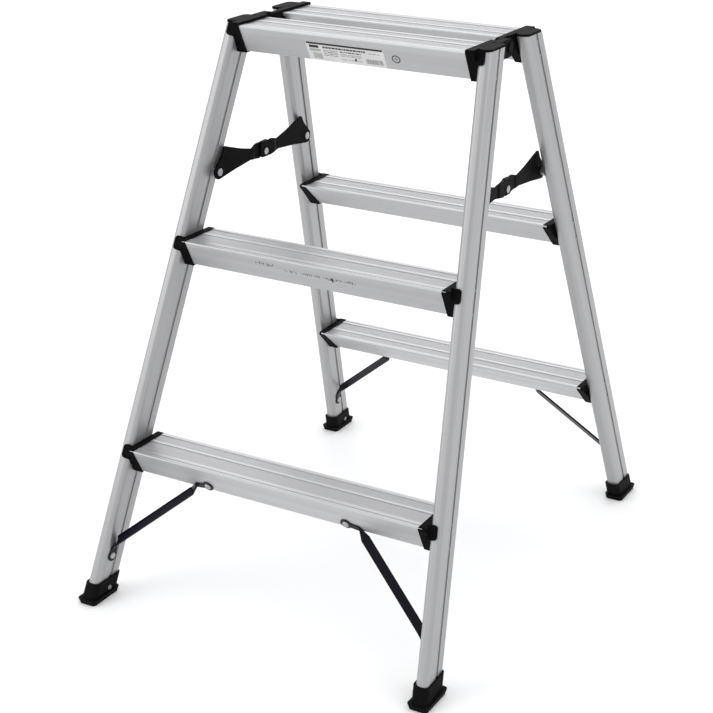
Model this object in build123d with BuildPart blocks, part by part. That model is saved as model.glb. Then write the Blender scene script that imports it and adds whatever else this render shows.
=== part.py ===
"""Double-sided folding step ladder: two three-tread aluminium frames hinged at the platform.

Millimetres, +Z up. X runs along the treads, Y from the front frame (-Y) to the rear one (+Y).
The origin is on the floor under the middle of the platform, and the ladder stands open.
"""
import os
from math import atan2, cos, hypot, radians, sin, tan

from build123d import *

# Heights and slopes of the two frames
PLATFORM_Z = 790.0  # tread surface of the top step
STEP_PITCH = 284.0
LEAN = radians(20.1)  # each frame from the vertical
SPLAY = 0.0945  # sideways run of a stile per unit of height
RUN = tan(LEAN)
AXIS_X = 191.0  # stile centre line at platform height
AXIS_Y = 58.0
FRONT, REAR = -1, 1
LEFT, RIGHT = -1, 1
LEVELS = {"low": PLATFORM_Z - 2 * STEP_PITCH, "mid": PLATFORM_Z - STEP_PITCH, "top": PLATFORM_Z}

# Stile extrusion: rounded box, a groove in both sides, narrower flange
STILE_W = 18.0
STILE_D = 46.0
NOSE_R = 7.0
BOX_D = 24.5
GROOVE_W = 6.7
GROOVE_IN = 2.0
FLANGE_IN = 0.5
FLANGE_R = 1.5
STILE_WALL = 1.5
STILE_FOOT_Z = 6.0
CAP_T = 3.0
CAP_RISE = 3.5  # top brackets stand this far above the platform tread

# Tread extrusion, measured across from the stile's centre line at tread level
TREAD_OUT = 37.5
TREAD_IN = -41.0
TREAD_H = 38.3
KEEL_OUT = 16.5
KEEL_IN = 5.2
TREAD_WALL = 2.0
TREAD_HALF = 171.2  # visible half length of the top tread
SOCKET = 6.0  # length of tread inside each bracket
BANDS = ((16.0, 43.5), (49.5, 68.0))  # serrated bands, from the climbing edge inwards
BAND_DEEP = 0.7
NOSE_LINE = (8.0, 1.6)  # groove behind the climbing edge: distance and width
SERRATION = 2.5
SERRATION_W = 1.0
SERRATION_DEEP = 0.4

# Plastic brackets
LIP = 1.5
TOE_DROP = 2.5  # bracket below the tread, at the stile
EAR_T = 3.0
EAR_OVER = 11.0  # how far the ear reaches over the stile's face
EAR_H = 20.0
BRACKET_RIVET_R = 2.1
BRACKET_RIVET_DROPS = {FRONT: (7.0, 36.0), REAR: (4.0, 31.0)}
TOP_RIVET_DROP = 11.0  # upper rivet of a top bracket, clear of the cap
RIVET_SEAT = 13.0  # depth of the rivet inwards from the stile's centre line

# Top hinge
PIN_Z = 781.2
PIN_R = 4.0
RUN_FIT = 0.05  # radial clearance on every turning pin
LEAF_R = 12.2
LEAF_X = {FRONT: (179.0, 190.5), REAR: (171.2, 178.6)}
AXIAL_GAP = 0.3

# Folding spreaders
PIVOT_Y = 118.5
PIVOT_Z = 587.0
HUB_Z = 590.5
LINK_SPAN = hypot(PIVOT_Y, HUB_Z - PIVOT_Z)
LINK_RISE = atan2(HUB_Z - PIVOT_Z, PIVOT_Y)
LINK_T = 2.5
LINK_X = 194.4  # outboard face of the links
HUB_STEP = 1.4  # joggle of each link towards its hub
LINK_OUTLINE = ((0, -10.5), (40, -6.5), (80, -4), (107, -8.3), (107, 15.5), (99, 15.5), (84, 12),
                (60, 18.5), (16, 33.5), (9, 22), (-8, 6))
BOSS_R = 10.5
HUB = (24.0, 23.8)  # length and height of the squared hub end
HUB_RAISE = 3.6
LINK_RIVET_R = 3.0
COLLAR_R = 6.0

# Diagonal braces, pressed into a shallow channel
BRACE_T = 1.6
BRACE_W = 12.6
BRACE_RIM = 1.3
BRACE_RIM_H = 1.2
BRACE_ROLL = radians(50)  # turn of the web about its run, from lying flat along Y
BRACE_START = (138.4, 284.1, 174.0)
BRACE_END = (242.3, 321.3, 86.0)
BRACE_TAB = (110.0, 190.5)
BRACE_TAB_R = 8.2
BRACE_NECK = (20.0, 3.0, 9.0)  # reach from the tab's middle, fall and width
BRACE_FOOT_Z = 63.0
BRACE_FOOT_L = 12.0
BRACE_REACH = 4.0  # room kept free in front of each rivet head's seat
BRACE_RIVET_Y = -5.0  # across the stile, towards its nose
BRACE_RIVET_R = 2.6
BRACE_HEAD_R = 5.0

# Rubber boots
BOOT_TOP_Z = 29.0
BOOT_WALL = 3.0
BOOT_RIVET_Z = 15.0
SOLE_Z = 8.0
SOLE = (27.0, 57.0)
SOLE_FLARE = (31.0, 62.0)

# Sticker on the front top skirt
LABEL_W = 118.0
LABEL_H = 31.0
LABEL_X = -10.0
LABEL_DOWN = 24.5
LABEL_T = 0.25

os.makedirs("parts", exist_ok=True)


def write(part, name):
    part.label = name
    export_step(part, f"parts/{name}.step")


def axis_x(z):
    return AXIS_X + SPLAY * (PLATFORM_Z - z)


def axis_y(z):
    return AXIS_Y + RUN * (PLATFORM_Z - z)


def tread_half(z):
    return TREAD_HALF + SPLAY * (PLATFORM_Z - z)


# Planes. A stile's own axes are X to the right, Y to the rear and Z up the stile.

def stile_plane(frame, side):
    """Square to a stile, with its origin where the stile's centre line meets the floor."""
    up = Vector(-side * SPLAY, -frame * RUN, 1).normalized()
    face = Vector(0, frame * cos(LEAN), sin(LEAN))
    return Plane(origin=(side * axis_x(0), frame * axis_y(0), 0), x_dir=face.cross(up) * frame, z_dir=up)


def stile_spot(frame, side, z, across, outward):
    """On a stile at height z, Z pointing away from the ladder's middle and X up the stile."""
    stile = stile_plane(frame, side)
    level = z - across * stile.y_dir.Z - side * outward * stile.x_dir.Z
    origin = stile.from_local_coords(Vector(side * outward, across, level / stile.z_dir.Z))
    return Plane(origin=origin, x_dir=stile.z_dir, z_dir=stile.x_dir * side)


def climbing_face(frame, side, z):
    """On the stile's face that the climber sees, X away from the ladder's middle, Z outwards."""
    stile = stile_plane(frame, side)
    across = frame * STILE_D / 2
    level = (z - across * stile.y_dir.Z) / stile.z_dir.Z
    return Plane(origin=stile.from_local_coords(Vector(0, across, level)), x_dir=stile.x_dir * side,
                 z_dir=stile.y_dir * frame)


def skirt_plane(frame, x, z, drop):
    """On a tread's climbing-side skirt, X to the right and Z outwards, drop below the tread."""
    slope = (TREAD_OUT - KEEL_OUT) / TREAD_H
    y = axis_y(z) + TREAD_OUT - slope * drop
    return Plane(origin=(x, frame * y, z - drop), x_dir=(1, 0, 0), z_dir=(0, frame, -slope))


def link_plane(frame, x):
    """On a spreader link: origin on its stile pivot, X towards its hub, Y upwards."""
    return Plane(origin=(x, frame * PIVOT_Y, PIVOT_Z), x_dir=(0, -frame * cos(LINK_RISE), sin(LINK_RISE)),
                 z_dir=(-frame, 0, 0))


def crosswise(z, side=RIGHT):
    """Square to X at height z in the hinge plane, Z away from the middle on that side."""
    return Plane(origin=(0, 0, z), x_dir=(0, 1, 0), z_dir=(side, 0, 0))


def tread_corners(frame, z, grow=0.0, rise=0.0, drop=0.0):
    """Section of a tread as (y, z): inner top, outer top, outer keel, inner keel."""
    y = axis_y(z)
    low = z - TREAD_H - drop
    out_slope = (TREAD_OUT - KEEL_OUT) / TREAD_H
    in_slope = (KEEL_IN - TREAD_IN) / TREAD_H
    corners = [(y + TREAD_IN - grow - in_slope * rise, z + rise),
               (y + TREAD_OUT + grow + out_slope * rise, z + rise),
               (y + KEEL_OUT + grow - out_slope * drop * 0.5, low),
               (y + KEEL_IN - grow, low)]
    return [(frame * py, pz) for py, pz in corners]


def rod(plane, radius, start, end):
    """A round bar along a plane's Z, from start to end."""
    with BuildPart(mode=Mode.PRIVATE) as bar:
        with BuildSketch(plane.offset(start)):
            Circle(radius)
        extrude(amount=end - start)
    return bar.part


# Stiles

def stile_blank(frame, side, low_z, top_z):
    """A stile's outer shape without its hollows, cut level at both ends."""
    half_w = STILE_W / 2
    nose = -STILE_D / 2
    box_end = nose + BOX_D
    neck_end = box_end + GROOVE_W
    right = [(half_w, nose), (half_w, box_end), (half_w - GROOVE_IN, box_end),
             (half_w - GROOVE_IN, neck_end), (half_w - FLANGE_IN, neck_end),
             (half_w - FLANGE_IN, STILE_D / 2)]
    left = [(-x, y) for x, y in reversed(right)]
    with BuildPart(mode=Mode.PRIVATE) as blank:
        with BuildSketch(stile_plane(frame, side).offset(-STILE_D)) as section:
            with BuildLine():
                Polyline(*right, *left, close=True)
            make_face()
            fillet(section.vertices().group_by(Axis.Y)[0], NOSE_R)
            fillet(section.vertices().group_by(Axis.Y)[-1], FLANGE_R)
        extrude(amount=PLATFORM_Z * 1.1 + 2 * STILE_D)
        split(bisect_by=Plane.XY.offset(low_z), keep=Keep.TOP)
        split(bisect_by=Plane.XY.offset(top_z), keep=Keep.BOTTOM)
    return blank.part


def make_stile(frame, side):
    nose = -STILE_D / 2
    neck_end = nose + BOX_D + GROOVE_W
    flange_d = STILE_D / 2 - neck_end
    hollow = stile_plane(frame, side).offset(-STILE_D)
    with BuildPart() as stile:
        add(stile_blank(frame, side, STILE_FOOT_Z, PLATFORM_Z + CAP_RISE - CAP_T))
        with BuildSketch(hollow):
            with Locations((0, nose + BOX_D / 2)):
                RectangleRounded(STILE_W - 2 * STILE_WALL, BOX_D - 2 * STILE_WALL, NOSE_R - STILE_WALL)
            with Locations((0, neck_end + flange_d / 2)):
                Rectangle(STILE_W - 2 * FLANGE_IN - 2 * STILE_WALL, flange_d - 2 * STILE_WALL)
        extrude(amount=PLATFORM_Z * 1.1 + 2 * STILE_D, mode=Mode.SUBTRACT)
        for plane in bracket_rivet_spots(frame, side):
            add(rod(plane, BRACKET_RIVET_R, -STILE_W, STILE_W), mode=Mode.SUBTRACT)
        add(rod(boot_rivet_spot(frame, side), BRACKET_RIVET_R, -STILE_W, 0), mode=Mode.SUBTRACT)
        add(rod(brace_foot_spot(frame, side), BRACE_RIVET_R, -1, STILE_W / 2), mode=Mode.SUBTRACT)
    return stile.part


def bracket_rivet_spots(frame, side):
    """Centres of the bracket rivets in the middle of the stile's groove, bottom to top."""
    groove_y = -STILE_D / 2 + BOX_D + GROOVE_W / 2
    upper, lower = BRACKET_RIVET_DROPS[frame]
    heights = []
    for z in LEVELS.values():
        heights += [z - (TOP_RIVET_DROP if z == PLATFORM_Z else upper), z - lower]
    return [stile_spot(frame, side, height, groove_y, 0) for height in heights]


def boot_rivet_spot(frame, side):
    return stile_spot(frame, side, BOOT_RIVET_Z, -STILE_D / 2 + BOX_D + GROOVE_W / 2, 0)


def brace_foot_spot(frame, side):
    """Centre of the brace's lower rivet on the stile's inner side face."""
    return stile_spot(frame, side, BRACE_FOOT_Z, BRACE_RIVET_Y, -STILE_W / 2)


def bracket_rivet(plane):
    """Head in the outer groove, shank through the neck into the bracket."""
    head = STILE_W / 2 - GROOVE_IN
    with BuildPart() as rivet:
        add(rod(plane, BRACKET_RIVET_R, -RIVET_SEAT, head))
        add(rod(plane, BRACKET_RIVET_R + 0.9, head, head + 1.2))
        fillet(rivet.edges().filter_by(GeomType.CIRCLE).group_by(SortBy.RADIUS)[-1]
               .sort_by(lambda edge: edge.arc_center.X * (1 if plane.z_dir.X > 0 else -1))[-1], 0.5)
    return rivet.part


# Treads

def make_tread(frame, z):
    half = tread_half(z) + SOCKET
    edge = axis_y(z) + TREAD_OUT
    with BuildPart() as tread:
        with BuildSketch(Plane.YZ.offset(-half)) as section:
            with BuildLine():
                Polyline(*tread_corners(frame, z), close=True)
            make_face()
            fillet(section.vertices().group_by(Axis.Y)[-1], 1.5)
            fillet(section.vertices().group_by(Axis.Y)[0], 1.5)
            offset(amount=-TREAD_WALL, mode=Mode.SUBTRACT)
            with Locations((frame * (edge - NOSE_LINE[0]), z)):
                Rectangle(NOSE_LINE[1], 2 * BAND_DEEP, mode=Mode.SUBTRACT)
            for near, far in BANDS:
                with Locations((frame * (edge - (near + far) / 2), z)):
                    Rectangle(far - near, 2 * BAND_DEEP, mode=Mode.SUBTRACT)
                    with GridLocations(SERRATION, 0, int((far - near) / SERRATION), 1):
                        Rectangle(SERRATION_W, 2 * (BAND_DEEP + SERRATION_DEEP), mode=Mode.SUBTRACT)
        extrude(amount=2 * half)
        if z == LEVELS["low"]:
            for side in (LEFT, RIGHT):
                add(rod(brace_tab_plane(frame, side), BRACE_RIVET_R, -3 * TREAD_WALL, 1),
                    mode=Mode.SUBTRACT)
    return tread.part


# Brackets

def bracket_block(frame, side, z, rise):
    """Tread-shaped block between the tread's end and the stile, with a socket and a sloping toe."""
    start = side * tread_half(z)
    low = z - TREAD_H
    with BuildPart(mode=Mode.PRIVATE) as block:
        with BuildSketch(Plane.YZ.offset(start)) as outline:
            with BuildLine():
                Polyline(*tread_corners(frame, z, LIP, rise, TOE_DROP), close=True)
            make_face()
            fillet(outline.vertices().group_by(Axis.Y)[-1], 3.0)
            fillet(outline.vertices().group_by(Axis.Y)[0], 2.0)
        extrude(amount=side * STILE_D)
        split(bisect_by=stile_spot(frame, side, z, 0, -STILE_W / 2), keep=Keep.BOTTOM)
        with BuildSketch(Plane.XZ):
            with BuildLine():
                Polyline((start - side, low - LIP), (start + side * TOE_DROP, low - TOE_DROP - 1),
                         (start - side, low - TOE_DROP - 1), close=True)
            make_face()
        extrude(amount=2 * PLATFORM_Z, both=True, mode=Mode.SUBTRACT)
    return block.part


def ear(frame, side, z):
    """Rounded lug wrapped onto the stile's climbing face."""
    inner = -STILE_W / 2
    reach = EAR_OVER + 2 * LIP
    with BuildPart(mode=Mode.PRIVATE) as lug:
        with BuildSketch(climbing_face(frame, side, z - EAR_H / 3)) as outline:
            with Locations((inner + EAR_OVER - reach / 2, 0)):
                Rectangle(reach, EAR_H)
            fillet(outline.vertices().group_by(Axis.X)[-1], 5.0)
        extrude(amount=EAR_T)
    return lug.part


def stile_cap(frame, side):
    """Lid over the stile's open top end."""
    with BuildPart(mode=Mode.PRIVATE) as lid:
        with BuildSketch(Plane.XY.offset(PLATFORM_Z + CAP_RISE - CAP_T)) as outline:
            with Locations((side * axis_x(PLATFORM_Z), frame * axis_y(PLATFORM_Z))):
                Rectangle(STILE_W + 1.6, STILE_D / cos(LEAN) + 2.4)
            fillet(outline.vertices(), 8.5)
        extrude(amount=CAP_T)
        chamfer(lid.edges().group_by(Axis.Z)[-1], 0.8)
    return lid.part


def hinge_leaf(frame, side):
    """Plate from a top bracket to the hinge pin, round about the pin."""
    near, far = LEAF_X[frame]
    top = PIN_Z + LEAF_R
    low = PIN_Z - LEAF_R
    face = STILE_D / 2 / cos(LEAN)
    with BuildPart(mode=Mode.PRIVATE) as leaf:
        with BuildSketch(Plane.YZ.offset(side * near)):
            with BuildLine():
                Polyline((0, low), (0, top), (frame * (axis_y(top) - face), top),
                         (frame * (axis_y(low) - face), low), close=True)
            make_face()
            with Locations((0, PIN_Z)):
                Circle(LEAF_R)
        extrude(amount=side * (far - near))
    return leaf.part


def make_bracket(frame, side, z):
    top = z == PLATFORM_Z
    with BuildPart() as bracket:
        add(bracket_block(frame, side, z, CAP_RISE if top else LIP / 2))
        add(ear(frame, side, z))
        if top:
            add(stile_cap(frame, side))
            add(hinge_leaf(frame, side))
            add(rod(crosswise(PIN_Z, side), PIN_R + (RUN_FIT if frame == REAR else 0), 0, AXIS_X + STILE_W),
                mode=Mode.SUBTRACT)
        with BuildSketch(Plane.YZ.offset(side * tread_half(z))):
            with BuildLine():
                Polyline(*tread_corners(frame, z), close=True)
            make_face()
        extrude(amount=side * SOCKET, mode=Mode.SUBTRACT)
        for plane in bracket_rivet_spots(frame, side):
            add(rod(plane, BRACKET_RIVET_R, -RIVET_SEAT, 0), mode=Mode.SUBTRACT)
    return bracket.part


def make_hinge_pin(side):
    """Pin through both leaves of one side, headed at both ends."""
    inner = LEAF_X[REAR][0] - AXIAL_GAP
    outer = LEAF_X[FRONT][1]
    across = crosswise(PIN_Z, side)
    with BuildPart() as pin:
        add(rod(across, PIN_R, inner, outer))
        add(rod(across, PIN_R + 2.5, inner - 1.5, inner))
        add(rod(across, PIN_R + 2.5, outer, outer + 1.5))
    return pin.part


# Spreaders

def make_link(frame, side):
    """Sheet-steel link: a fan at the stile, a joggle, and a squared hub end."""
    step = side * HUB_STEP * (1 if frame == FRONT else -1)
    outer = side * LINK_X
    inner = outer - side * LINK_T
    bend = (LINK_SPAN - 31, LINK_SPAN - 25)
    with BuildPart() as link:
        with BuildSketch(link_plane(frame, 0)) as outline:
            with BuildLine():
                Polyline(*LINK_OUTLINE, close=True)
            make_face()
            fillet(outline.vertices().sort_by(Axis.Y)[-1], 4.0)
            Circle(BOSS_R)
            with Locations((LINK_SPAN, HUB_RAISE)):
                RectangleRounded(*HUB, 6)
        extrude(amount=2 * LINK_X, both=True)
        strip = Plane(origin=(0, frame * PIVOT_Y, PIVOT_Z - 2 * BOSS_R),
                      x_dir=(0, -frame, 0), z_dir=(0, 0, 1))
        across = -1 if strip.y_dir.X < 0 else 1
        with BuildSketch(strip):
            with BuildLine():
                Polyline((-20, across * outer), (bend[0], across * outer),
                         (bend[1], across * (outer + step)), (LINK_SPAN + 20, across * (outer + step)),
                         (LINK_SPAN + 20, across * (inner + step)), (bend[1], across * (inner + step)),
                         (bend[0], across * inner), (-20, across * inner), close=True)
            make_face()
        extrude(amount=6 * BOSS_R, mode=Mode.INTERSECT)
        stile_hole = LINK_RIVET_R + (RUN_FIT if frame == FRONT else 0)
        hub_hole = LINK_RIVET_R + (RUN_FIT if frame == REAR else 0)
        add(rod(link_plane(frame, 0), stile_hole, -2 * LINK_X, 2 * LINK_X), mode=Mode.SUBTRACT)
        add(rod(crosswise(HUB_Z, side), hub_hole, 0, 2 * LINK_X), mode=Mode.SUBTRACT)
    return link.part


def make_link_rivet(frame, side):
    """Shouldered rivet: collar against the stile, shank through the link, low head inboard."""
    across = Plane(origin=(0, frame * PIVOT_Y, PIVOT_Z), x_dir=(0, 1, 0), z_dir=(side, 0, 0))
    turning = frame == FRONT
    gap = AXIAL_GAP if turning else 0
    clear = 0 if turning else 0.4
    face = FLANGE_IN if frame == FRONT else 0
    inner = LINK_X - LINK_T - gap
    with BuildPart() as rivet:
        add(rod(across, COLLAR_R, LINK_X + gap, LINK_X + STILE_W))
        split(bisect_by=stile_spot(frame, side, PIVOT_Z, 0, face - STILE_W / 2 - clear),
              keep=Keep.BOTTOM)
        add(rod(across, LINK_RIVET_R, inner, LINK_X + gap))
        add(rod(across, COLLAR_R - 0.5, inner - 2.0, inner))
        fillet(rivet.edges().filter_by(GeomType.CIRCLE).sort_by(lambda edge: abs(edge.arc_center.X))[0], 1.2)
    return rivet.part


def make_hub_rivet(side):
    """Middle rivet of a spreader, held by the front link."""
    across = crosswise(HUB_Z, side)
    outer = LINK_X + HUB_STEP
    inner = LINK_X - LINK_T - HUB_STEP - AXIAL_GAP
    with BuildPart() as rivet:
        add(rod(across, LINK_RIVET_R, inner, outer))
        add(rod(across, COLLAR_R - 1, outer, outer + 1.2))
        add(rod(across, COLLAR_R - 1, inner - 2.0, inner))
        fillet(rivet.edges().filter_by(GeomType.CIRCLE).sort_by(lambda edge: abs(edge.arc_center.X))[0], 1.2)
    return rivet.part


# Braces

def brace_tab_plane(frame, side):
    x, z = BRACE_TAB
    return skirt_plane(frame, side * x, LEVELS["low"], LEVELS["low"] - z)


def strip_section(centre, path, normal, width):
    """Section of the brace's sheet, square to its path, on the normal's side of the centre."""
    with BuildSketch(Plane(origin=centre, x_dir=normal.cross(path), z_dir=path),
                     mode=Mode.PRIVATE) as section:
        with Locations((0, BRACE_T / 2)):
            Rectangle(width, BRACE_T)
    return section.sketch.face()


def make_brace(frame, side):
    """Pressed steel strip from the low tread's skirt, twisted and bent down onto the stile."""
    tab = brace_tab_plane(frame, side)
    foot = brace_foot_spot(frame, side).offset(-BRACE_T)
    along = Vector(side, 0, 0)
    down = foot.x_dir * -1
    start, end = [Vector(side * x, frame * y, z) for x, y, z in (BRACE_START, BRACE_END)]
    run = (end - start).normalized()
    level = Vector(0, -frame, 0)
    level = (level - run * run.dot(level)).normalized()
    raised = run.cross(level) * -side * frame
    face = raised * cos(BRACE_ROLL) - level * sin(BRACE_ROLL)
    reach, fall, neck_w = BRACE_NECK
    neck = skirt_plane(frame, side * (BRACE_TAB[0] + reach), LEVELS["low"],
                       LEVELS["low"] - BRACE_TAB[1] + fall).origin
    stations = [(tab.origin, along, tab.z_dir, neck_w),
                (neck, along, tab.z_dir, neck_w),
                (start, run, face, BRACE_W),
                (end, run, face, BRACE_W),
                (foot.origin - down * BRACE_FOOT_L, down, foot.z_dir, BRACE_W),
                (foot.origin, down, foot.z_dir, BRACE_W)]
    with BuildPart() as brace:
        for first, second in zip(stations, stations[1:]):
            loft([strip_section(*first), strip_section(*second)], ruled=True)
        with BuildSketch(Plane(origin=start, x_dir=face.cross(run), z_dir=run)):
            with Locations((0, BRACE_T)):
                with GridLocations(BRACE_W - BRACE_RIM, 0, 2, 1):
                    Rectangle(BRACE_RIM, 2 * BRACE_RIM_H)
        extrude(amount=(end - start).length)
        for end_plane in (tab, foot):
            add(rod(end_plane, BRACE_TAB_R, 0, BRACE_T))
            add(rod(end_plane, BRACE_RIVET_R, -BRACE_T, 2 * BRACE_T), mode=Mode.SUBTRACT)
        add(rod(tab, BRACE_HEAD_R, BRACE_T, BRACE_REACH), mode=Mode.SUBTRACT)
        add(rod(foot, BRACE_HEAD_R, 0, -BRACE_REACH), mode=Mode.SUBTRACT)
    return brace.part


def domed_rivet(plane, radius, tail, seat, head_r, head_h):
    """Rivet along a plane's Z: shank from tail to seat, domed head beyond seat."""
    section = Plane(origin=plane.origin, x_dir=plane.x_dir, z_dir=plane.y_dir * -1)
    top = seat + (head_h if seat > tail else -head_h)
    shoulder = seat + (top - seat) * 0.65
    with BuildPart() as rivet:
        with BuildSketch(section):
            with BuildLine():
                Polyline((head_r * 0.55, top), (0, top), (0, tail), (radius, tail), (radius, seat),
                         (head_r, seat))
                ThreePointArc((head_r, seat), (head_r * 0.86, shoulder), (head_r * 0.55, top))
            make_face()
        revolve(axis=Axis(plane.origin, plane.z_dir))
    return rivet.part


# Boots

def make_boot(frame, side):
    """Rubber boot: a sleeve along the stile on a flared, grooved sole."""
    centre = (side * axis_x(0), frame * (axis_y(0) - 2))
    with BuildPart() as boot:
        with BuildSketch(stile_plane(frame, side).offset(-STILE_D)):
            RectangleRounded(STILE_W + 2 * BOOT_WALL, STILE_D + 2 * BOOT_WALL, NOSE_R + 1)
        extrude(amount=3 * STILE_D)
        split(bisect_by=Plane.XY.offset(SOLE_Z / 2), keep=Keep.TOP)
        split(bisect_by=Plane.XY.offset(BOOT_TOP_Z), keep=Keep.BOTTOM)
        with BuildSketch(Plane.XY):
            with Locations(centre):
                RectangleRounded(*SOLE, 5)
        with BuildSketch(Plane.XY.offset(SOLE_Z)):
            with Locations(centre):
                RectangleRounded(*SOLE_FLARE, 6)
        loft()
        with BuildSketch(Plane.XY):
            with Locations(centre):
                with GridLocations(0, SOLE[1] / 7, 1, 6):
                    Rectangle(2 * SOLE[0], 2)
        extrude(amount=1.5, mode=Mode.SUBTRACT)
        add(stile_blank(frame, side, STILE_FOOT_Z, 3 * BOOT_TOP_Z), mode=Mode.SUBTRACT)
        add(rod(boot_rivet_spot(frame, side), BRACKET_RIVET_R, -STILE_W, 0), mode=Mode.SUBTRACT)
    return boot.part


def make_label():
    with BuildPart() as label:
        with BuildSketch(skirt_plane(FRONT, LABEL_X, PLATFORM_Z, LABEL_DOWN)):
            RectangleRounded(LABEL_W, LABEL_H, 1.5)
        extrude(amount=LABEL_T)
    return label.part


for frame, frame_name in ((FRONT, "front"), (REAR, "rear")):
    bracket_rivets = []
    brace_rivets = []
    boot_rivets = []
    for side, side_name in ((LEFT, "left"), (RIGHT, "right")):
        write(make_stile(frame, side), f"{frame_name}_stile_{side_name}")
        for level, height in LEVELS.items():
            write(make_bracket(frame, side, height), f"{frame_name}_bracket_{level}_{side_name}")
        write(make_brace(frame, side), f"{frame_name}_brace_{side_name}")
        write(make_boot(frame, side), f"{frame_name}_boot_{side_name}")
        write(make_link(frame, side), f"{frame_name}_spreader_link_{side_name}")
        write(make_link_rivet(frame, side), f"{frame_name}_link_rivet_{side_name}")
        bracket_rivets += [bracket_rivet(plane) for plane in bracket_rivet_spots(frame, side)]
        brace_rivets += [
            domed_rivet(brace_tab_plane(frame, side), BRACE_RIVET_R, -2 * TREAD_WALL, BRACE_T,
                        BRACE_HEAD_R, 2.2),
            domed_rivet(brace_foot_spot(frame, side), BRACE_RIVET_R, 2 * STILE_WALL, -BRACE_T,
                        BRACE_HEAD_R, 2.2)]
        boot_rivets.append(domed_rivet(boot_rivet_spot(frame, side), BRACKET_RIVET_R, -STILE_WALL,
                                       -STILE_W / 2 - BOOT_WALL, 3.8, 1.4))
    for level, height in LEVELS.items():
        write(make_tread(frame, height), f"{frame_name}_tread_{level}")
    write(Compound(children=bracket_rivets), f"{frame_name}_bracket_rivets")
    write(Compound(children=brace_rivets), f"{frame_name}_brace_rivets")
    write(Compound(children=boot_rivets), f"{frame_name}_boot_rivets")

for side, side_name in ((LEFT, "left"), (RIGHT, "right")):
    write(make_hinge_pin(side), f"hinge_pin_{side_name}")
    write(make_hub_rivet(side), f"spreader_hub_rivet_{side_name}")
write(make_label(), "rating_label")
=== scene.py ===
"""Looks of a double-sided folding step ladder: aluminium frames, black fittings, printed film."""
import random
from math import radians

import bmesh
import bpy
from mathutils import Matrix, Vector


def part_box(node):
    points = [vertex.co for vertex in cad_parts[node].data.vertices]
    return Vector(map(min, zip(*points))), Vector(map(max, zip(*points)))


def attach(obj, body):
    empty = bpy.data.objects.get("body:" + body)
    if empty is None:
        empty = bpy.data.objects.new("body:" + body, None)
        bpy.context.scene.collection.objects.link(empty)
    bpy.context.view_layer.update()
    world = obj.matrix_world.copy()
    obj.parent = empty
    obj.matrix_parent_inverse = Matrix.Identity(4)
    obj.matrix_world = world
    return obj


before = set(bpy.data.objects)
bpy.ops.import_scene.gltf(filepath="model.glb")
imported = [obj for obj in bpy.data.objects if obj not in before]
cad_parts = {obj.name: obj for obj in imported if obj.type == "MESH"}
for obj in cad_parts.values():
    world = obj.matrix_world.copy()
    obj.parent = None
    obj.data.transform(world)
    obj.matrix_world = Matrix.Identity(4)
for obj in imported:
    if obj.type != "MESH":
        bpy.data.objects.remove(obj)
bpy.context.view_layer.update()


# Studio: a wide seamless white floor under even white light, a large softbox high behind the
# ladder that lights the treads, a tall one at the left front and a dim one at the right.
camera_data = bpy.data.cameras.new("camera")
camera_data.lens = 83.4
camera = bpy.data.objects.new("camera", camera_data)
camera.location = (1.0696, -1.9781, 1.2179)
camera.rotation_euler = Vector((-0.4522, 0.8089, -0.3758)).to_track_quat("-Z", "Y").to_euler()
camera.rotation_euler.rotate_axis("Z", radians(0.45))
bpy.context.collection.objects.link(camera)
bpy.context.scene.camera = camera
bpy.context.scene.view_settings.view_transform = "Standard"


def softbox(name, place, aim, width, height, watts):
    lamp = bpy.data.lights.new(name, "AREA")
    lamp.shape = "RECTANGLE"
    lamp.size = width
    lamp.size_y = height
    lamp.energy = watts
    holder = bpy.data.objects.new(name, lamp)
    holder.location = place
    holder.rotation_euler = (Vector(aim) - Vector(place)).to_track_quat("-Z", "Y").to_euler()
    bpy.context.collection.objects.link(holder)


softbox("softbox_behind", (-0.9, 3.2, 2.8), (0, 0, 0.5), 4.4, 3.0, 44)
softbox("softbox_left_front", (-2.4, -2.6, 1.9), (0, 0, 0.4), 2.2, 2.4, 30)
softbox("softbox_right", (3.0, 0.4, 1.5), (0, 0, 0.4), 1.4, 2.0, 8)

world = bpy.data.worlds.new("studio")
world.use_nodes = True
world.node_tree.nodes["Background"].inputs["Color"].default_value = (0.985, 0.99, 1.0, 1)
world.node_tree.nodes["Background"].inputs["Strength"].default_value = 1.02
bpy.context.scene.world = world


def made(name, shape, surface):
    """An object at the origin, of one finished shape in one material."""
    data = bpy.data.meshes.new(name)
    shape.to_mesh(data)
    shape.free()
    data.materials.append(surface)
    piece = bpy.data.objects.new(name, data)
    bpy.context.collection.objects.link(piece)
    return piece


floor_paint = bpy.data.materials.new("studio_floor_paint")
floor_paint.use_nodes = True
floor_shader = floor_paint.node_tree.nodes["Principled BSDF"]
floor_shader.inputs["Base Color"].default_value = (0.97, 0.97, 0.97, 1)
floor_shader.inputs["Roughness"].default_value = 0.9
floor_shape = bmesh.new()
bmesh.ops.create_grid(floor_shape, x_segments=1, y_segments=1, size=20)
floor = made("studio_floor", floor_shape, floor_paint)


# Stiles: four lengths of aluminium box extrusion with a groove in each side, satin anodised.
# Fine die lines and broad faint bands run along each one; the bands vary its tone and gloss.
def new_surface(name):
    """A material with its shader, its node maker and its linker."""
    surface = bpy.data.materials.new(name)
    surface.use_nodes = True
    tree = surface.node_tree
    return surface, tree.nodes["Principled BSDF"], tree.nodes.new, tree.links.new


def pattern_space(make, link, size, turn=(0, 0, 0)):
    """Object coordinates turned onto a piece, with one unit of pattern per size in metres."""
    place = make("ShaderNodeTexCoord")
    grid = make("ShaderNodeMapping")
    grid.vector_type = "TEXTURE"
    grid.inputs["Rotation"].default_value = turn
    grid.inputs["Scale"].default_value = size
    link(place.outputs["Object"], grid.inputs["Vector"])
    return grid.outputs["Vector"]


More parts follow.
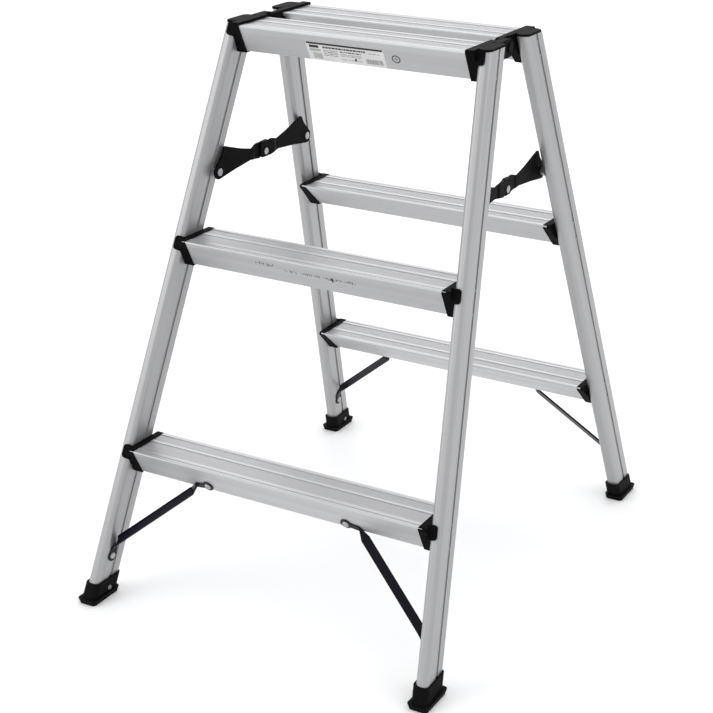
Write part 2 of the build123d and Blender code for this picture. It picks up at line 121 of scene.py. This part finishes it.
def noise(make, link, space, detail, roughness=0.5):
    speckle = make("ShaderNodeTexNoise")
    speckle.inputs["Scale"].default_value = 1.0
    speckle.inputs["Detail"].default_value = detail
    speckle.inputs["Roughness"].default_value = roughness
    link(space, speckle.inputs["Vector"])
    return speckle.outputs["Fac"]


def blend_colours(make, link, factor, stops):
    ramp = make("ShaderNodeValToRGB")
    ramp.color_ramp.elements[0].position = stops[0][0]
    ramp.color_ramp.elements[0].color = (*stops[0][1], 1)
    ramp.color_ramp.elements[1].position = stops[-1][0]
    ramp.color_ramp.elements[1].color = (*stops[-1][1], 1)
    for position, colour in stops[1:-1]:
        ramp.color_ramp.elements.new(position).color = (*colour, 1)
    link(factor, ramp.inputs["Fac"])
    return ramp.outputs["Color"]


def spread(make, link, factor, least, most):
    reach = make("ShaderNodeMapRange")
    reach.inputs["To Min"].default_value = least
    reach.inputs["To Max"].default_value = most
    link(factor, reach.inputs["Value"])
    return reach.outputs["Result"]


def relief(make, link, height, depth, strength):
    bump = make("ShaderNodeBump")
    bump.inputs["Distance"].default_value = depth
    bump.inputs["Strength"].default_value = strength
    link(height, bump.inputs["Height"])
    return bump.outputs["Normal"]


COOL_CAST = 1.01  # blue over red and green


def anodised_aluminium(name, turn, tones):
    """Extruded aluminium whose die lines run along the Z of the turned pattern."""
    surface, shader, make, link = new_surface(name)
    die_lines = noise(make, link, pattern_space(make, link, (0.0011, 0.0011, 0.6), turn), 4, 0.6)
    bands = noise(make, link, pattern_space(make, link, (0.010, 0.010, 0.8), turn), 2)
    mixed = make("ShaderNodeMix")
    mixed.inputs["Factor"].default_value = 0.55
    link(die_lines, mixed.inputs["A"])
    link(bands, mixed.inputs["B"])
    dark, usual, light = [(tone, tone, tone * COOL_CAST) for tone in tones]
    tone = blend_colours(make, link, mixed.outputs["Result"],
                         [(0.30, dark), (0.52, usual), (0.72, light)])
    link(tone, shader.inputs["Base Color"])
    link(spread(make, link, die_lines, 0.36, 0.50), shader.inputs["Roughness"])
    link(relief(make, link, die_lines, 0.00005, 0.3), shader.inputs["Normal"])
    shader.inputs["Metallic"].default_value = 0.72
    return surface


def dress(node, surface):
    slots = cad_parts[node].data.materials
    for place in range(len(slots)):
        slots[place] = surface


STILE_TONES = (0.34, 0.385, 0.43)
SECTION_X, SECTION_Y = 0.02, 0.045  # about what the section adds to the lean in a stile's box
for frame_name in ("front", "rear"):
    for side_name in ("left", "right"):
        stile = f"{frame_name}_stile_{side_name}"
        foot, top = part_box(stile)
        sideways = (top.x - foot.x - SECTION_X) * (1 if side_name == "left" else -1)
        onwards = (top.y - foot.y - SECTION_Y) * (1 if frame_name == "front" else -1)
        along = Vector((sideways, onwards, top.z - foot.z)).to_track_quat("Z", "X").to_euler()
        dress(stile, anodised_aluminium(f"aluminium_{stile}", along, STILE_TONES))


# Treads: six lengths of hollow aluminium extrusion with serrated bands along their tops. Their
# ends are pushed into the sockets of the brackets.
TREAD_TONES = (0.44, 0.50, 0.55)
tread_aluminium = anodised_aluminium("aluminium_tread", (0, radians(90), 0), TREAD_TONES)
for frame_name in ("front", "rear"):
    for level in ("low", "mid", "top"):
        dress(f"{frame_name}_tread_{level}", tread_aluminium)


# Prints on the front frame: a pale sticker with a black head strip, plain bars and pale blocks,
# a ring stamp beside it, and two rows of small ink strokes on the middle tread. None of it is
# lettering. Each mark is a thin block that stands INK_T proud of its surface.
INK_T = 0.0001


def moulded(name, dark, light, roughness, grain, depth, gloss):
    """Plastic, rubber, paint or ink: clouded between two colours, with pores of one grain."""
    surface, shader, make, link = new_surface(name)
    pores = noise(make, link, pattern_space(make, link, (grain, grain, grain)), 3)
    clouds = noise(make, link, pattern_space(make, link, (0.02, 0.02, 0.02)), 2)
    link(blend_colours(make, link, clouds, [(0.3, dark), (0.7, light)]), shader.inputs["Base Color"])
    link(spread(make, link, pores, roughness - 0.07, roughness + 0.07), shader.inputs["Roughness"])
    link(relief(make, link, pores, depth, 0.4), shader.inputs["Normal"])
    shader.inputs["Specular IOR Level"].default_value = gloss
    return surface


def skirt_matrix(node, x, z):
    """Where a level line of sight from the front meets a tread's skirt: X along it, Z out of it."""
    hit, place, outward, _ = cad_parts[node].ray_cast(Vector((x, -2, z)), Vector((0, 1, 0)))
    along = Vector((1, 0, 0))
    turn = Matrix((along, outward.cross(along), outward)).transposed()
    return Matrix.Translation(place) @ turn.to_4x4()


def mark(face, right, up, width, height):
    """A block's matrix, width and height, moved right and up from the middle of a face."""
    return face @ Matrix.Translation((right, up, 0)), width, height


def printed(name, marks, surface):
    """One piece of thin ink blocks, one block for each mark."""
    print_shape = bmesh.new()
    for matrix, width, height in marks:
        block = bmesh.ops.create_cube(print_shape, size=1)["verts"]
        bmesh.ops.scale(print_shape, vec=(width, height, 2 * INK_T), verts=block)
        bmesh.ops.transform(print_shape, matrix=matrix, verts=block)
    piece = made(name, print_shape, surface)
    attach(piece, "front_frame")


film = moulded("sticker_film", (0.56, 0.56, 0.55), (0.62, 0.62, 0.61), 0.36, 0.002, 0.00003, 0.4)
dress("rating_label", film)

ink = moulded("black_ink", (0.022, 0.022, 0.024), (0.035, 0.035, 0.036), 0.5, 0.0006, 0.00002, 0.2)
grey_ink = moulded("grey_ink", (0.14, 0.14, 0.145), (0.20, 0.20, 0.20), 0.55, 0.0005, 0.00002, 0.2)
pale_ink = moulded("pale_ink", (0.30, 0.31, 0.29), (0.40, 0.41, 0.39), 0.55, 0.0005, 0.00002, 0.2)

label_low, label_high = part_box("rating_label")
label_middle = (label_low + label_high) / 2
label_face = skirt_matrix("rating_label", label_middle.x, label_middle.z)
LABEL_W, LABEL_H = 0.118, 0.031
LABEL_RIM = 0.001
head_strip = mark(label_face, right=0, up=LABEL_H / 2 - 0.0022, width=LABEL_W - 2 * LABEL_RIM, height=0.0032)
head_block = mark(label_face, right=-0.0475, up=LABEL_H / 2 - 0.0076, width=0.0145, height=0.0044)
printed("label_head", [head_strip, head_block], ink)

dice = random.Random(5)


def bar_row(span, up, height, lengths, gap):
    """Bars of uneven length along the sticker, over a span measured from its middle."""
    row = []
    first, last = span
    while first < last:
        bar = min(dice.uniform(*lengths), last - first)
        row.append(mark(label_face, first + bar / 2, up, bar, height))
        first += bar + gap
    return row


TITLE_SPAN, LEFT_SPAN, MIDDLE_SPAN = (-0.034, 0.031), (-0.034, -0.013), (-0.008, 0.024)
title_bars = bar_row(TITLE_SPAN, up=0.0078, height=0.0027, lengths=(0.0016, 0.0046), gap=0.0010)
title_bars += bar_row(MIDDLE_SPAN, up=0.0030, height=0.0018, lengths=(0.0012, 0.0040), gap=0.0012)
title_bars += bar_row((0.012, 0.015), up=-0.0075, height=0.0036, lengths=(0.003, 0.003), gap=0)
printed("label_title_bars", title_bars, ink)

bars = []
for row_up in (0.0030, 0.0002, -0.0026, -0.0054):
    bars += bar_row(LEFT_SPAN, row_up, height=0.0010, lengths=(0.003, 0.010), gap=0.0012)
for row_up in (-0.0012, -0.0036, -0.0095):
    bars += bar_row(MIDDLE_SPAN, row_up, height=0.0008, lengths=(0.003, 0.012), gap=0.0014)
bars += bar_row((0.036, 0.053), up=0.0060, height=0.0010, lengths=(0.003, 0.006), gap=0.0014)
UPRIGHT_COUNT, UPRIGHT_START, UPRIGHT_PITCH = 17, 0.030, 0.0015
for count in range(UPRIGHT_COUNT):
    bars.append(mark(label_face, UPRIGHT_START + UPRIGHT_PITCH * count, up=-0.0075,
                     width=dice.uniform(0.0005, 0.0011), height=0.0075))
printed("label_bars", bars, grey_ink)

upper_block = mark(label_face, right=-0.0465, up=0.0020, width=0.017, height=0.0042)
lower_block = mark(label_face, right=-0.0445, up=-0.0075, width=0.014, height=0.0095)
printed("label_blocks", [upper_block, lower_block], pale_ink)

RING_X, RING_DOWN, RING_R, RING_W = 0.066, 0.0225, 0.0064, 0.0015
ring_place = skirt_matrix("front_tread_top", RING_X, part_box("front_tread_top")[1].z - RING_DOWN)
ring_shape = bmesh.new()
bmesh.ops.create_circle(ring_shape, segments=48, radius=RING_R, cap_ends=True)
ring_middle = ring_shape.faces[:]
bmesh.ops.inset_region(ring_shape, faces=ring_middle, thickness=RING_W, use_boundary=True)
bmesh.ops.delete(ring_shape, geom=ring_middle, context="FACES")
lifted = bmesh.ops.extrude_face_region(ring_shape, geom=ring_shape.faces[:])["geom"]
bmesh.ops.translate(ring_shape, vec=(0, 0, INK_T),
                    verts=[part for part in lifted if isinstance(part, bmesh.types.BMVert)])
bmesh.ops.recalc_face_normals(ring_shape, faces=ring_shape.faces[:])
bmesh.ops.transform(ring_shape, matrix=ring_place, verts=ring_shape.verts[:])
ring = made("ring_stamp", ring_shape, ink)
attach(ring, "front_frame")
ring_bars = [mark(ring_place, right=0, up=0, width=0.0062, height=0.0014),
             mark(ring_place, right=0, up=0.0024, width=0.0036, height=0.0009),
             mark(ring_place, right=0, up=-0.0024, width=0.0036, height=0.0009)]
printed("ring_stamp_bar", ring_bars, grey_ink)

# Each row of strokes is its first and last place along the tread and its depth below the top.
STROKE_ROWS = ((-0.089, -0.057, 0.012), (-0.042, 0.068, 0.017))
STROKE_PITCH, STROKE_W, STROKE_CHANCE, STROKE_LIFT = 0.0030, 0.0009, 0.6, 0.0012
BAR_SHIFT, BAR_LIFT = 0.0006, 1.6
CROSS_X, CROSS_DOWN = 0.032, 0.018
skirt_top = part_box("front_tread_mid")[1].z
strokes = []
for first, last, down in STROKE_ROWS:
    for count in range(int((last - first) / STROKE_PITCH) + 1):
        spot = skirt_matrix("front_tread_mid", first + STROKE_PITCH * count, skirt_top - down)
        lift = dice.uniform(-STROKE_LIFT, STROKE_LIFT)
        if dice.random() < STROKE_CHANCE:
            strokes.append(mark(spot, 0, lift, STROKE_W, height=dice.uniform(0.0026, 0.0052)))
        if dice.random() < STROKE_CHANCE:
            bar = dice.uniform(0.0014, 0.0026)
            strokes.append(mark(spot, BAR_SHIFT, BAR_LIFT * lift, bar, STROKE_W))
spot = skirt_matrix("front_tread_mid", CROSS_X, skirt_top - CROSS_DOWN)
strokes.append(mark(spot, right=0, up=0, width=0.0065, height=0.0016))
strokes.append(mark(spot, right=0, up=0, width=0.0018, height=0.0085))
printed("skirt_strokes", strokes, ink)


# Brackets: injection-moulded black nylon, one at each end of each tread, fixed through the
# stile's neck by two aluminium rivets, each with a small bright stub on its head. The top four
# also cap the stiles and carry the hinge.
black_nylon = moulded("black_nylon", (0.0030, 0.0030, 0.0033), (0.0055, 0.0055, 0.0058),
                      0.55, 0.0007, 0.0001, 0.02)
for frame_name in ("front", "rear"):
    for side_name in ("left", "right"):
        for level in ("low", "mid", "top"):
            dress(f"{frame_name}_bracket_{level}_{side_name}", black_nylon)


def plated(name, dark, light, roughness):
    """Metal with a fine spangle between two colours, rougher where it is lighter."""
    surface, shader, make, link = new_surface(name)
    spangle = noise(make, link, pattern_space(make, link, (0.0012, 0.0012, 0.0012)), 4)
    link(blend_colours(make, link, spangle, [(0.3, dark), (0.7, light)]), shader.inputs["Base Color"])
    link(spread(make, link, spangle, roughness - 0.06, roughness + 0.1), shader.inputs["Roughness"])
    shader.inputs["Metallic"].default_value = 0.9
    return surface


bare_rivet = plated("rivet_aluminium", (0.17, 0.17, 0.175), (0.27, 0.27, 0.27), 0.4)
zinc = plated("zinc_plate", (0.30, 0.30, 0.31), (0.45, 0.45, 0.46), 0.32)
STUB_R, STUB_H, STUB_TAPER = 0.0012, 0.0005, 0.7
HEAD_REACH = 0.006  # a face nearer to a head's centre than this is part of it
FLAT_COSINE = 0.99  # least sideways part of the normal of a head's flat face


def middle(faces):
    """Centre of a few faces, weighted by their areas."""
    return sum((face.center * face.area for face in faces), Vector()) / sum(face.area for face in faces)


def head_spots(node):
    """Centre and direction of each rivet head that faces away from the ladder's middle."""
    heads = []
    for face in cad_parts[node].data.polygons:
        if face.normal.x * face.center.x <= 0 or abs(face.normal.x) < FLAT_COSINE:
            continue
        for head in heads:
            if (middle(head) - face.center).length < HEAD_REACH:
                head.append(face)
                break
        else:
            heads.append([face])
    return [(middle(head), head[0].normal.copy()) for head in heads]


for frame_name in ("front", "rear"):
    dress(f"{frame_name}_bracket_rivets", bare_rivet)
    stubs_shape = bmesh.new()
    for centre, outward in head_spots(f"{frame_name}_bracket_rivets"):
        stub = bmesh.ops.create_cone(stubs_shape, cap_ends=True, segments=20, radius1=STUB_R,
                                     radius2=STUB_TAPER * STUB_R, depth=STUB_H)["verts"]
        turn = outward.to_track_quat("Z", "Y").to_matrix().to_4x4()
        stub_place = Matrix.Translation(centre + outward * STUB_H / 2) @ turn
        bmesh.ops.transform(stubs_shape, matrix=stub_place, verts=stub)
    stubs = made(f"{frame_name}_rivet_stubs", stubs_shape, zinc)
    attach(stubs, f"{frame_name}_frame")


# Hinge pins: blackened steel, headed at both ends, one on each side through the leaves of the
# top brackets.
black_steel = moulded("black_steel", (0.0020, 0.0020, 0.0024), (0.0040, 0.0040, 0.0046),
                      0.36, 0.003, 0.0001, 0.02)
for side_name in ("left", "right"):
    dress(f"hinge_pin_{side_name}", black_steel)


# Spreaders: on each side two stamped steel links in the same black, joined by a zinc-plated
# rivet, with a shouldered rivet at each stile.
for side_name in ("left", "right"):
    dress(f"spreader_hub_rivet_{side_name}", zinc)
    for frame_name in ("front", "rear"):
        dress(f"{frame_name}_spreader_link_{side_name}", black_steel)
        dress(f"{frame_name}_link_rivet_{side_name}", zinc)


# Braces: black-painted pressed steel straps from the low treads' skirts to the stiles, with a
# raised rim along each edge, riveted at both ends.
# The black is the paint's own colour; the faint blue mixed into it is a painted sheen, standing in for a
# violet-blue reflection off the straps.
brace_paint_with_painted_sheen = moulded("brace_paint_with_painted_sheen", (0.0030, 0.0028, 0.0060), (0.0055, 0.0050, 0.011),
                      0.24, 0.004, 0.00008, 0.12)
for frame_name in ("front", "rear"):
    dress(f"{frame_name}_brace_rivets", zinc)
    for side_name in ("left", "right"):
        dress(f"{frame_name}_brace_{side_name}", brace_paint_with_painted_sheen)


# Boots: moulded black rubber sleeves on grooved soles, each held to its stile by one rivet.
black_rubber = moulded("black_rubber", (0.0028, 0.0028, 0.003), (0.0052, 0.0052, 0.0052),
                       0.62, 0.0012, 0.0002, 0.05)
for frame_name in ("front", "rear"):
    dress(f"{frame_name}_boot_rivets", bare_rivet)
    for side_name in ("left", "right"):
        dress(f"{frame_name}_boot_{side_name}", black_rubber)
